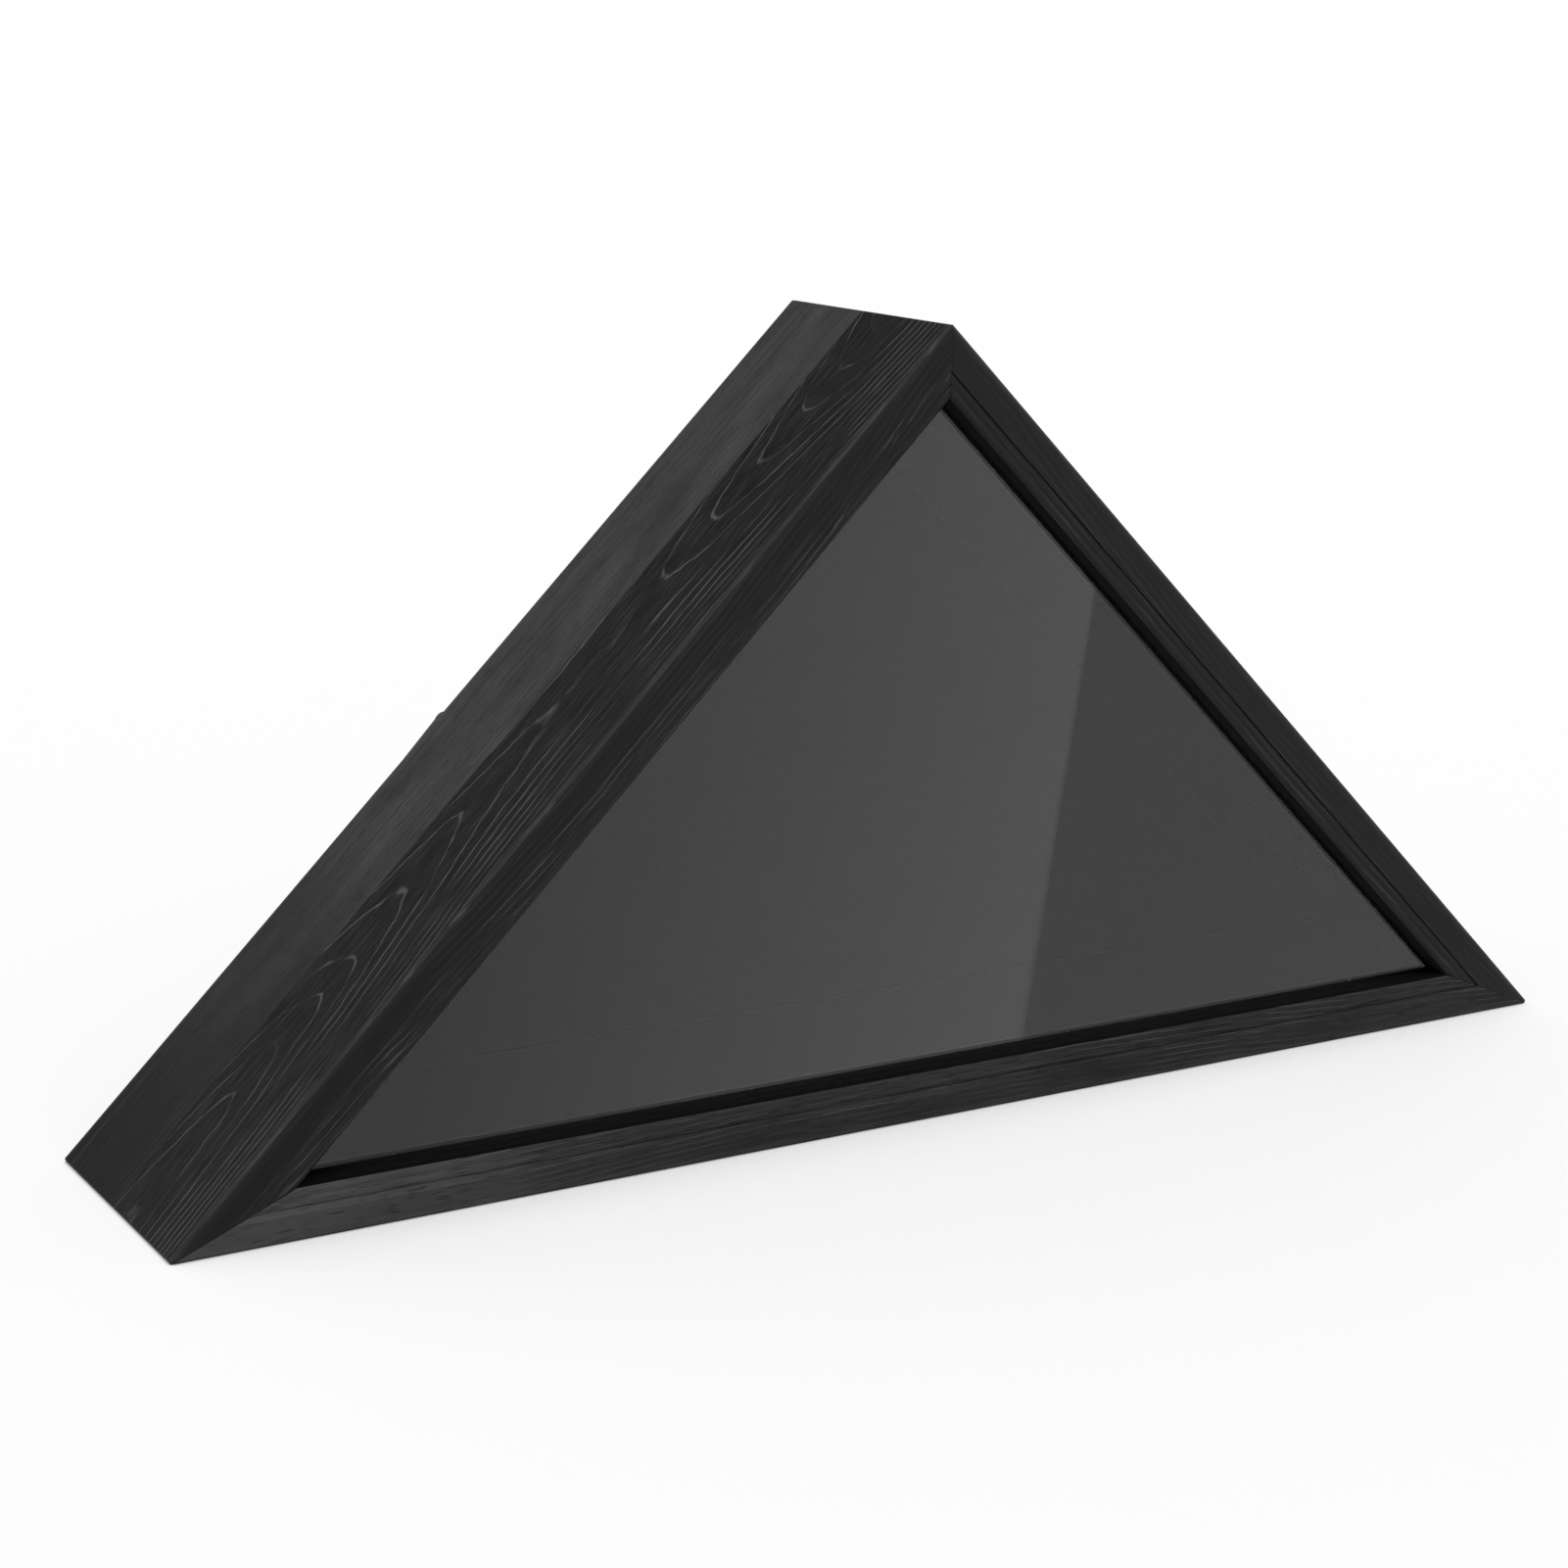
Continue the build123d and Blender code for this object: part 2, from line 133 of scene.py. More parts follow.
def ebonised_oak(
    name, rail, heart, humps, ring, ground, line, brushing, seed,
    flat=("#161616", 0.0), recess=13.9, gloss=0.25,
):
    """Wire-brushed oak under black stain and satin lacquer.

    The soft early wood takes the stain and stays dark, and the hard late wood of each year
    is left standing as a thin, paler, smoother line. heart is where the middle of the tree
    ran, in mm rearwards and in mm below the outer face. Each hump says between which places
    along the rail the heart comes nearer, and by how much. ring is a year's growth in mm.
    ground is the colour at the start and the end of a stretch of the rail, and that stretch:
    the stain, and on the left rear board also painted shade, darker towards the foot.
    line is the stain on the late wood, and brushing is how strongly the fibres show. flat is
    the stain on the rail's front flat, and how much of the grain it hides. recess is how deep
    in from the outer face, in mm, the lip's edge turns near black as painted shade for the
    recess between the inner bead and the glass, and gloss is the specular level of the
    lacquer. seed shifts the patterns, so that no two boards match.
    """
    material, tree = new_material(name)
    board = board_place(tree, rail)
    axes = add(tree, "SeparateXYZ", {"Vector": board})
    along, rearwards, outwards = axes.outputs

    # The patterns in the wood, each with where it starts, its length and width in mm, and
    # how fine and how rough it is
    patterns = []
    for start, length, width, detail, rough in (
        # The trunk wanders over 50 mm, by 1.3 rings at most, and its rings wriggle over 7 mm,
        # by 0.3 of a ring at most
        ((seed, seed, 0), 50, 22, 1.0, 0.5),
        ((0, seed, 0), 7, 4, 2.0, 0.5),
        # The late wood stands out in some stretches, about 40 mm long, and fades in others
        ((0, 0, seed), 40, 10, 2.0, 0.5),
        # Brushed fibres: streaks 14 mm long and 0.6 mm apart
        ((seed, 0, 0), 14, 0.6, 2.0, 0.6),
        # Open pores: dashes 7 mm long, drawn 0.5 mm wide, twice the real width, to show
        ((0, 0, 0), 7, 0.5, 1.0, 0.5),
        # The stain took a little unevenly, in clouds 35 mm long and 12 mm wide
        ((seed, 0, seed), 35, 12, 3.0, 0.5),
    ):
        place = add(
            tree,
            "Mapping",
            {"Vector": board, "Location": start, "Scale": (1 / length, 1 / width, 1 / width)},
        )
        noise = {"Vector": place, "Scale": 1.0, "Detail": detail, "Roughness": rough}
        patterns.append(add(tree, "TexNoise", noise))
    wander, wriggle, stretches, fibres, dashes, clouds = patterns

    # The rings are circles round the heart, which comes nearer the face at each hump
    over_heart = outwards
    for start, end, rise in humps:
        hump = add(
            tree,
            "MapRange",
            {"Value": along, "From Min": start, "From Max": end, "To Max": rise},
            interpolation_type="SMOOTHSTEP",
        )
        over_heart = add(tree, "Math", {0: over_heart, 1: hump}, operation="SUBTRACT").outputs[0]
    radial = add(tree, "CombineXYZ", {"X": 0.0, "Y": rearwards, "Z": over_heart})
    from_heart = add(tree, "VectorMath", {0: radial, 1: (0, -heart[0], heart[1])}, operation="ADD")
    radius = add(tree, "VectorMath", {0: from_heart}, operation="LENGTH")
    wandered = add(
        tree,
        "Math",
        {0: wander, 1: 1.3 * ring, 2: radius.outputs["Value"]},
        operation="MULTIPLY_ADD",
    )
    wriggled = add(
        tree, "Math", {0: wriggle, 1: 0.3 * ring, 2: wandered}, operation="MULTIPLY_ADD"
    )
    years = add(tree, "Math", {0: wriggled, 1: 1 / ring}, operation="MULTIPLY")
    across_year = add(tree, "Math", {0: years, 1: 0.5}, operation="PINGPONG")

    # Over the heart the years are cut aslant and only their hard edge shows as a line, but
    # towards the board's edges late wood fills more of each year
    beside_heart = add(tree, "Math", {0: rearwards, 1: heart[0]}, operation="SUBTRACT")
    from_middle = add(tree, "Math", {0: beside_heart}, operation="ABSOLUTE")
    late_start = add(
        tree,
        "MapRange",
        {"Value": from_middle, "From Min": 4.0, "From Max": 20.0, "To Min": 0.44, "To Max": 0.36},
    )
    late_wood = add(
        tree,
        "MapRange",
        {"Value": across_year, "From Min": late_start, "From Max": 0.5},
        interpolation_type="SMOOTHSTEP",
    )
    patch = add(
        tree,
        "MapRange",
        {"Value": stretches, "From Min": 0.4, "From Max": 0.6, "To Min": 0.1},
        interpolation_type="SMOOTHSTEP",
    )
    lines = add(tree, "Math", {0: late_wood, 1: patch}, operation="MULTIPLY")
    fibre = add(
        tree, "MapRange", {"Value": fibres, "From Min": 0.45, "From Max": 0.75, "To Max": brushing}
    )
    brushed = add(tree, "Math", {0: lines, 1: fibre}, operation="ADD")

    # The front edge was moulded after the brushing, so there the grain shows half as much
    behind_front = add(
        tree,
        "MapRange",
        {
            "Value": rearwards,
            "From Min": 0.5 - HALF_DEPTH_MM,
            "From Max": 2.5 - HALF_DEPTH_MM,
            "To Min": 0.5,
        },
    )
    pale = add(tree, "Math", {0: brushed, 1: behind_front}, operation="MULTIPLY")
    pores = add(
        tree,
        "MapRange",
        {"Value": dashes, "From Min": 0.56, "From Max": 0.68, "To Max": 0.5},
        interpolation_type="SMOOTHSTEP",
    )
    cloud = add(
        tree, "MapRange", {"Value": clouds, "From Min": 0.3, "From Max": 0.7, "To Max": 0.5}
    )

    # A painted highlight: the stain is made paler within 2.5 mm of the outer arrises, where the
    # eased edges catch the light
    edge_depth = add(tree, "Math", {0: rearwards}, operation="ABSOLUTE")
    from_edge = add(tree, "Math", {0: HALF_DEPTH_MM, 1: edge_depth}, operation="SUBTRACT")
    from_arris = add(tree, "CombineXYZ", {"X": 0.0, "Y": from_edge, "Z": outwards})
    arris_distance = add(tree, "VectorMath", {0: from_arris}, operation="LENGTH")
    edge_highlight_fade = add(
        tree,
        "MapRange",
        {
            "Value": arris_distance.outputs["Value"],
            "From Min": 0.8,
            "From Max": 2.5,
            "To Min": 0.45,
            "To Max": 0.0,
        },
    )
    painted_edge_highlight = add(tree, "Math", {0: edge_highlight_fade, 1: fibres}, operation="MULTIPLY")

    # At each mitre the arrises are eased, which leaves a hairline 0.5 mm wide along the joint
    start_half, end_half, length = MITRES[rail]
    start_across = (math.sin(start_half), 0, math.cos(start_half))
    end_across = (-math.sin(end_half), 0, math.cos(end_half))
    from_start = add(tree, "VectorMath", {0: board, 1: start_across}, operation="DOT_PRODUCT")
    past_end = add(tree, "VectorMath", {0: board, 1: end_across}, operation="DOT_PRODUCT")
    from_end = add(
        tree,
        "Math",
        {0: past_end.outputs["Value"], 1: length * math.sin(end_half)},
        operation="ADD",
    )
    from_mitre = add(
        tree, "Math", {0: from_start.outputs["Value"], 1: from_end}, operation="MINIMUM"
    )
    hairline = add(
        tree,
        "MapRange",
        {"Value": from_mitre, "From Min": 0.05, "From Max": 0.25, "To Min": 1.0, "To Max": 0.0},
    )

    # The front flat is one dark growth ring. The lip's edge, between the inner bead and the glass,
    # is coloured near black as painted shade for the recess there.
    skin = FRONT_SKIN_MM - HALF_DEPTH_MM
    in_front = add(tree, "Math", {0: rearwards, 1: skin}, operation="LESS_THAN")
    by_arris = add(tree, "Math", {0: outwards, 1: -FRONT_FLAT_MM}, operation="GREATER_THAN")
    on_flat = add(tree, "Math", {0: in_front, 1: by_arris}, operation="MULTIPLY")
    flat_share = add(tree, "Math", {0: on_flat, 1: flat[1]}, operation="MULTIPLY")
    past_bead = add(tree, "Math", {0: outwards, 1: -recess}, operation="LESS_THAN")
    behind_bead = add(tree, "Math", {0: rearwards, 1: skin}, operation="GREATER_THAN")
    jet_black_and_painted_shade = add(tree, "Math", {0: past_bead, 1: behind_bead}, operation="MULTIPLY")

    # The ground colour, and over it what darkens or pales it, each by its share; among these
    # coats are a painted highlight on the arrises and painted shade on the lip's edge
    start_colour, end_colour, begins, ends = ground
    stretch = add(
        tree,
        "MapRange",
        {"Value": along, "From Min": begins, "From Max": ends},
        interpolation_type="SMOOTHSTEP",
    )
    colour = add(
        tree,
        "Mix",
        {"Factor": stretch, 6: linear(start_colour), 7: linear(end_colour)},
        data_type="RGBA",
    )
    for share, coat in (
        (cloud, "#0b0b0b"),
        (pale, line),
        (pores, "#060606"),
        # painted highlight along the outer arrises
        (painted_edge_highlight, "#5c5c5c"),
        (hairline, "#020202"),
        (flat_share, flat[0]),
        # painted shade on the lip's edge in the recess
        (jet_black_and_painted_shade, "#010101"),
    ):
        colour = add(
            tree,
            "Mix",
            {"Factor": share, 6: colour.outputs[2], 7: linear(coat)},
            data_type="RGBA",
        )
    relief = add(tree, "Math", {0: pores, 1: -1.4, 2: pale}, operation="MULTIPLY_ADD")
    height = add(tree, "Math", {0: hairline, 1: -3.0, 2: relief}, operation="MULTIPLY_ADD")
    bump = add(tree, "Bump", {"Strength": 1.0, "Distance": 0.05 * MM, "Height": height})
    satin = add(tree, "MapRange", {"Value": pale, "To Min": 0.58, "To Max": 0.42})
    roughness = add(tree, "Math", {0: jet_black_and_painted_shade, 1: 0.4, 2: satin}, operation="MULTIPLY_ADD")
    surface = add(
        tree,
        "BsdfPrincipled",
        {
            "Base Color": colour.outputs[2],
            "Roughness": roughness,
            "IOR": 1.5,
            "Specular IOR Level": gloss,
            "Normal": bump,
        },
    )
    add(tree, "OutputMaterial", {"Surface": surface})
    return material


# On the base the painted shade of the lip's edge starts further out. The apex block has no lip and
# no painted shade.
BOARDS = {
    "left_front_board": dict(
        rail="left", heart=(-9, 40), humps=((170, -10, 9.8), (210, 345, 8.6)), ring=1.4,
        ground=("#101010", "#020202", 190, 250), line="#585858", brushing=0.34, seed=3.0,
        flat=("#030303", 0.7),
    ),
    # The rear board is paler, and its ground darkens towards the foot as painted shade
    "left_rear_board": dict(
        rail="left", heart=(60, 70), humps=((260, -40, 3.0), (150, 400, 5.0)), ring=1.6,
        ground=("#121212", "#474747", -20, 150), line="#303030", brushing=0.12, seed=11.0,
    ),
    "right_front_board": dict(
        rail="right", heart=(-12, 40), humps=((170, -20, 8.0), (180, 350, 9.0)), ring=1.5,
        ground=("#0b0b0b", "#0e0e0e", 0, 200), line="#363636", brushing=0.4, seed=17.0,
        flat=("#0e0e0e", 0.5),
    ),
    "right_rear_board": dict(
        rail="right", heart=(18, 41), humps=((200, -20, 8.6), (150, 340, 8.0)), ring=1.5,
        ground=("#1b1b1b", "#161616", 100, 250), line="#3f3f3f", brushing=0.4, seed=23.0,
    ),
    "base_front_board": dict(
        rail="base", heart=(-24, 40), humps=((190, -20, 9.0), (260, 460, 10.0)), ring=1.5,
        ground=("#303030", "#545454", 280, 420), line="#606060", brushing=0.36, seed=29.0,
        flat=("#141414", 0.3), recess=13.3, gloss=0.12,
    ),
    "base_rear_board": dict(
        rail="base", heart=(20, 44), humps=((200, 20, 11.0), (280, 470, 8.0)), ring=1.6,
        ground=("#161616", "#1b1b1b", 100, 300), line="#424242", brushing=0.4, seed=37.0,
    ),
    "apex_block": dict(
        rail="base", heart=(60, 260), humps=((240, 200, 3.0),), ring=1.8,
        ground=("#141414", "#141414", 0, 200), line="#363636", brushing=0.3, seed=41.0,
        recess=CASE_HEIGHT / MM,
    ),
}
for node, grain in BOARDS.items():
    dress(node, ebonised_oak("ebonised_oak_" + node, **grain))


# Loose splines glued across the mitres. They are strips of planed beech, left raw, and
# stay out of sight in their slots.
def planed_beech():
    """Planed beech: pale pink-brown, with short dark ray flecks along the strip."""
    material, tree = new_material("planed_beech")
    place = add(tree, "TexCoord")
    # Flecks 3 mm long and 0.4 mm wide
    flecks = add(
        tree,
        "Mapping",
        {
            "Vector": place.outputs["Object"],
            "Scale": (1 / (0.4 * MM), 1 / (3 * MM), 1 / (0.4 * MM)),
        },
    )
    noise = add(tree, "TexNoise", {"Vector": flecks, "Scale": 1.0, "Detail": 2.0})
    fleck = add(tree, "MapRange", {"Value": noise, "From Min": 0.5, "From Max": 0.66})
    colour = add(
        tree,
        "Mix",
        {"Factor": fleck, 6: linear("#c9a078"), 7: linear("#93683f")},
        data_type="RGBA",
    )
    bump = add(tree, "Bump", {"Strength": 0.5, "Distance": 0.03 * MM, "Height": noise})
    surface = add(
        tree,
        "BsdfPrincipled",
        {"Base Color": colour.outputs[2], "Roughness": 0.6, "Normal": bump},
    )
    add(tree, "OutputMaterial", {"Surface": surface})
    return material


dress("mitre_splines", planed_beech())


# Nails: V nails pressed across the mitres from behind, brads through the glass strips and
# round-headed nails in the hanger. All are bright drawn steel wire or strip.
def drawn_steel():
    """Bright drawn steel: grey, with die lines and a little handling dullness."""
    material, tree = new_material("drawn_steel")
    place = add(tree, "TexCoord")
    # Die lines 0.15 mm apart, and dull patches 2 mm across
    lines_place = add(
        tree,
        "Mapping",
        {
            "Vector": place.outputs["Object"],
            "Scale": (1 / (0.15 * MM), 1 / (6 * MM), 1 / (0.15 * MM)),
        },
    )
    lines = add(tree, "TexNoise", {"Vector": lines_place, "Scale": 1.0, "Detail": 2.0})
    dull = add(tree, "TexNoise", {"Vector": place.outputs["Object"], "Scale": 1 / (2 * MM)})
    colour = add(
        tree,
        "Mix",
        {"Factor": dull, 6: linear("#a9aaad"), 7: linear("#7b7b7d")},
        data_type="RGBA",
    )
    roughness = add(tree, "MapRange", {"Value": lines, "To Min": 0.25, "To Max": 0.45})
    bump = add(tree, "Bump", {"Strength": 0.4, "Distance": 0.01 * MM, "Height": lines})
    surface = add(
        tree,
        "BsdfPrincipled",
        {
            "Base Color": colour.outputs[2],
            "Metallic": 1.0,
            "Roughness": roughness,
            "Normal": bump,
        },
    )
    add(tree, "OutputMaterial", {"Surface": surface})
    return material


steel = drawn_steel()
for node in ("mitre_v_nails", "glass_strip_brads", "hanger_nails"):
    dress(node, steel)


# Glass pane, dropped in from the rear against the lip. It is 2 mm float glass with its
# edges only arrissed, so both faces are mirror smooth and a little hand dust stays on it.
def float_glass():
    """Clear float glass: a clean, hard and almost colourless mirror, with faint wiping marks."""
    material, tree = new_material("float_glass")
    place = add(tree, "TexCoord")
    # Wiping marks 60 mm long and 12 mm apart
    wipes_place = add(
        tree,
        "Mapping",
        {
            "Vector": place.outputs["Object"],
            "Rotation": (0, 0.6, 0),
            "Scale": (1 / (60 * MM), 1.0, 1 / (12 * MM)),
        },
    )
    wipes = add(tree, "TexNoise", {"Vector": wipes_place, "Scale": 1.0, "Detail": 2.0})
    tint = add(
        tree,
        "Mix",
        {"Factor": wipes, 6: linear("#f6f7f7"), 7: linear("#fbfbfb")},
        data_type="RGBA",
    )
    surface = add(
        tree,
        "BsdfPrincipled",
        {
            "Base Color": tint.outputs[2],
            "Roughness": 0.0,
            "IOR": 1.52,
            "Transmission Weight": 1.0,
        },
    )
    add(tree, "OutputMaterial", {"Surface": surface})
    return material


dress("glass_pane", float_glass())
# Light reaches the inside through the pane
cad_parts["glass_pane"].visible_shadow = False


# Glass strips: thin mitred strips pinned along the rails behind the glass. They are planed
# pine, stained black like the boards but not lacquered.
def ebonised_pine(rail):
    """Planed pine under matt black stain: dull, with close straight grain."""
    material, tree = new_material("ebonised_pine_" + rail)
    board = board_place(tree, rail)
    # Straight grain, 60 mm long and 0.9 mm apart
    grain_place = add(tree, "Mapping", {"Vector": board, "Scale": (1 / 60, 1 / 0.9, 1 / 0.9)})
    grain = add(tree, "TexNoise", {"Vector": grain_place, "Scale": 1.0, "Detail": 3.0})
    colour = add(
        tree,
        "Mix",
        {"Factor": grain, 6: linear("#0b0b0b"), 7: linear("#191919")},
        data_type="RGBA",
    )
    bump = add(tree, "Bump", {"Strength": 0.6, "Distance": 0.04 * MM, "Height": grain})
    surface = add(
        tree,
        "BsdfPrincipled",
        {
            "Base Color": colour.outputs[2],
            "Roughness": 0.75,
            "Specular IOR Level": 0.2,
            "Normal": bump,
        },
    )
    add(tree, "OutputMaterial", {"Surface": surface})
    return material


for rail in RAILS:
    dress(rail + "_glass_strip", ebonised_pine(rail))


# Back panel: a loose 5 mm fibreboard panel in the rear rebate, pressed from wood fibre and
# painted black on both faces.
INNER_PAINT_DEPTH = 0.0005


def painted_fibreboard():
    """Painted fibreboard: matt black over a pebbly, slightly woolly pressed surface."""
    material, tree = new_material("painted_fibreboard")
    place = add(tree, "TexCoord")
    # Pebbles 1.2 mm across, and clouds in the paint 25 mm across
    pebbles = add(
        tree,
        "TexVoronoi",
        {"Vector": place.outputs["Object"], "Scale": 1 / (1.2 * MM)},
        feature="SMOOTH_F1",
    )
    clouds = add(
        tree, "TexNoise", {"Vector": place.outputs["Object"], "Scale": 1 / (25 * MM), "Detail": 4.0}
    )
    colour = add(
        tree,
        "Mix",
        {"Factor": clouds, 6: linear("#181818"), 7: linear("#272727")},
        data_type="RGBA",
    )
    # The inner face, which shows as a fine line round the lining, is painted jet black
    axes = add(tree, "SeparateXYZ", {"Vector": place.outputs["Object"]})
    painted_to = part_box("back_panel")[0].y + INNER_PAINT_DEPTH
    inside = add(tree, "Math", {0: axes.outputs["Y"], 1: painted_to}, operation="LESS_THAN")
    jet_black_and_painted_shade = add(
        tree,
        "Mix",
        {"Factor": inside, 6: colour.outputs[2], 7: linear("#040404")},
        data_type="RGBA",
    )
    roughness = add(tree, "MapRange", {"Value": clouds, "To Min": 0.6, "To Max": 0.8})
    bump = add(
        tree,
        "Bump",
        {"Strength": 0.7, "Distance": 0.08 * MM, "Height": pebbles.outputs["Distance"]},
    )
    surface = add(
        tree,
        "BsdfPrincipled",
        {
            "Base Color": jet_black_and_painted_shade.outputs[2],
            "Roughness": roughness,
            "Specular IOR Level": 0.25,
            "Normal": bump,
        },
    )
    add(tree, "OutputMaterial", {"Surface": surface})
    return material


dress("back_panel", painted_fibreboard())


# Linings: card covered in black velvet. One sheet is glued to the back panel's inner face,
# with the velvet rolled over its edges, and a thinner strip is glued to each inside wall
# between the glass strip and the back panel.
WALL = 0.011
BACK_LINING_MARGIN = 0.0015
BACK_LINING_CORNER = 0.002
BACK_LINING_ROLL = 0.0007
WALL_LINING_THICKNESS = 0.0005
WALL_LINING_ROLL = 0.00015
WALL_LINING_GLUE = 0.00002
LINING_CLEARANCE = 0.0004


def half_width_at(height, inset):
    """Half the width, at this height, of the case's triangle inset from its outer faces."""
    return ((CASE_HEIGHT - height) * math.cos(SLOPE) - inset) / math.sin(SLOPE)


def covered_card(name, outline, cuts, push, roll):
    """Card of this outline, pushed to its thickness, with the rim of the pushed face rolled.

    Each of the cuts is for some of the corners, and says how far from them their rounding
    starts.
    """
    shape = bmesh.new()
    corners = [shape.verts.new(point) for point in outline]
    shape.faces.new(corners)
    for rounded, cut in cuts:
        bmesh.ops.bevel(
            shape,
            geom=[corners[i] for i in rounded],
            offset=cut,
            segments=8,
            affect="VERTICES",
            profile=0.5,
        )
    extruded = bmesh.ops.extrude_face_region(shape, geom=list(shape.faces))
    pushed = [part for part in extruded["geom"] if isinstance(part, bmesh.types.BMVert)]
    bmesh.ops.translate(shape, verts=pushed, vec=push)
    rim = [edge for edge in shape.edges if edge.verts[0] in pushed and edge.verts[1] in pushed]
    bmesh.ops.bevel(shape, geom=rim, offset=roll, segments=4, affect="EDGES", profile=0.5)
    bmesh.ops.recalc_face_normals(shape, faces=shape.faces)
    mesh = bpy.data.meshes.new(name)
    shape.to_mesh(mesh)
    shape.free()
    # The two large faces stay flat, and the rolled edges are smooth
    flat_area = max(polygon.area for polygon in mesh.polygons) / 2
    for polygon in mesh.polygons:
        polygon.use_smooth = polygon.area < flat_area
    card = bpy.data.objects.new(name, mesh)
    bpy.context.scene.collection.objects.link(card)
    return card


def black_velvet():
    """Woven black velvet: it drinks the light, and its brushed pile makes faint patches."""
    material, tree = new_material("black_velvet")
    place = add(tree, "TexCoord")
    # Pile brushed into patches 30 mm across, and tufts 0.5 mm apart
    brushed = add(
        tree, "TexNoise", {"Vector": place.outputs["Object"], "Scale": 1 / (30 * MM), "Detail": 2.0}
    )
    tufts = add(
        tree,
        "TexNoise",
        {"Vector": place.outputs["Object"], "Scale": 1 / (0.5 * MM), "Detail": 1.0},
    )
    colour = add(
        tree,
        "Mix",
        {"Factor": brushed, 6: linear("#060606"), 7: linear("#0b0b0b")},
        data_type="RGBA",
    )
    bump = add(tree, "Bump", {"Strength": 0.5, "Distance": 0.1 * MM, "Height": tufts})
    surface = add(
        tree,
        "BsdfPrincipled",
        {
            "Base Color": colour.outputs[2],
            "Roughness": 0.95,
            "Specular IOR Level": 0.0,
            "Normal": bump,
        },
    )
    add(tree, "OutputMaterial", {"Surface": surface})
    return material


velvet = black_velvet()

low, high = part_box("back_lining")
foot = half_width_at(low.z, WALL + BACK_LINING_MARGIN)
crop = half_width_at(high.z, WALL + BACK_LINING_MARGIN)
lining = covered_card(
    "back_panel_lining",
    [
        (-foot, high.y, low.z),
        (foot, high.y, low.z),
        (crop, high.y, high.z),
        (-crop, high.y, high.z),
    ],
    (
        ((0, 1), BACK_LINING_CORNER / math.tan(HALF_FOOT)),
        ((2, 3), BACK_LINING_CORNER * math.tan(HALF_FOOT)),
    ),
    (0, low.y - high.y, 0),
    BACK_LINING_ROLL,
)
lining.data.materials.append(velvet)
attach(lining, "rear_panel")
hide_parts("back_lining")

strip_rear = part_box("base_glass_strip")[1].y + LINING_CLEARANCE
panel_front = high.y - LINING_CLEARANCE
block_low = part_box("apex_block")[0]
block_front = block_low.y - LINING_CLEARANCE

# How far from each corner the wall strips end, and how far up the left rail the block starts
inner_inset = WALL + WALL_LINING_THICKNESS + LINING_CLEARANCE
from_foot = inner_inset / math.tan(HALF_FOOT)
from_apex = inner_inset / math.tan(HALF_APEX)
block_start = (block_low.z + WALL * math.cos(SLOPE)) / math.sin(SLOPE) - LINING_CLEARANCE

# Each wall strip, by its place along the rail and its depth, notched round the apex block
left_strip = [
    (from_foot, strip_rear),
    (SIDE_LENGTH - from_apex, strip_rear),
    (SIDE_LENGTH - from_apex, block_front),
    (block_start, block_front),
    (block_start, panel_front),
    (from_foot, panel_front),
]
wall_strips = {
    "left": left_strip,
    "right": [(SIDE_LENGTH - along, y) for along, y in left_strip],
    "base": [
        (from_foot, strip_rear),
        (CASE_WIDTH - from_foot, strip_rear),
        (CASE_WIDTH - from_foot, panel_front),
        (from_foot, panel_front),
    ],
}
for rail, strip in wall_strips.items():
    corner, turn = RAILS[rail]
    onto_rail = Matrix.Translation(corner) @ Matrix.Rotation(turn, 4, "Y")
    outward = onto_rail.to_3x3() @ Vector((0, 0, 1))
    lining = covered_card(
        rail + "_wall_lining",
        [onto_rail @ Vector((along, y, -WALL - WALL_LINING_GLUE)) for along, y in strip],
        (),
        outward * -WALL_LINING_THICKNESS,
        WALL_LINING_ROLL,
    )
    lining.data.materials.append(velvet)
    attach(lining, "case")


# Turn buttons with their washers and screws, and the sawtooth hanger. All are stamped or
# headed from mild steel and zinc plated, the buttons held by one screw each.
def zinc_plate():
    """Bright zinc plate: cool grey with a faint yellow bloom, satin from tumbling."""
    material, tree = new_material("zinc_plate")
    place = add(tree, "TexCoord")
    # Plating bloom 4 mm across, and tumbling dents 0.5 mm across
    bloom = add(
        tree, "TexNoise", {"Vector": place.outputs["Object"], "Scale": 1 / (4 * MM), "Detail": 3.0}
    )
    dents = add(
        tree,
        "TexNoise",
        {"Vector": place.outputs["Object"], "Scale": 1 / (0.5 * MM), "Detail": 2.0},
    )
    colour = add(
        tree,
        "Mix",
        {"Factor": bloom, 6: linear("#a7abb0"), 7: linear("#8f8e86")},
        data_type="RGBA",
    )
    roughness = add(tree, "MapRange", {"Value": bloom, "To Min": 0.25, "To Max": 0.5})
    bump = add(tree, "Bump", {"Strength": 0.3, "Distance": 0.02 * MM, "Height": dents})
    surface = add(
        tree,
        "BsdfPrincipled",
        {
            "Base Color": colour.outputs[2],
            "Metallic": 1.0,
            "Roughness": roughness,
            "Normal": bump,
        },
    )
    add(tree, "OutputMaterial", {"Surface": surface})
    return material


zinc = zinc_plate()
for node in (
    "left_turn_button",
    "right_turn_button",
    "base_turn_button",
    "turn_button_washers",
    "turn_button_screws",
    "sawtooth_hanger",
):
    dress(node, zinc)


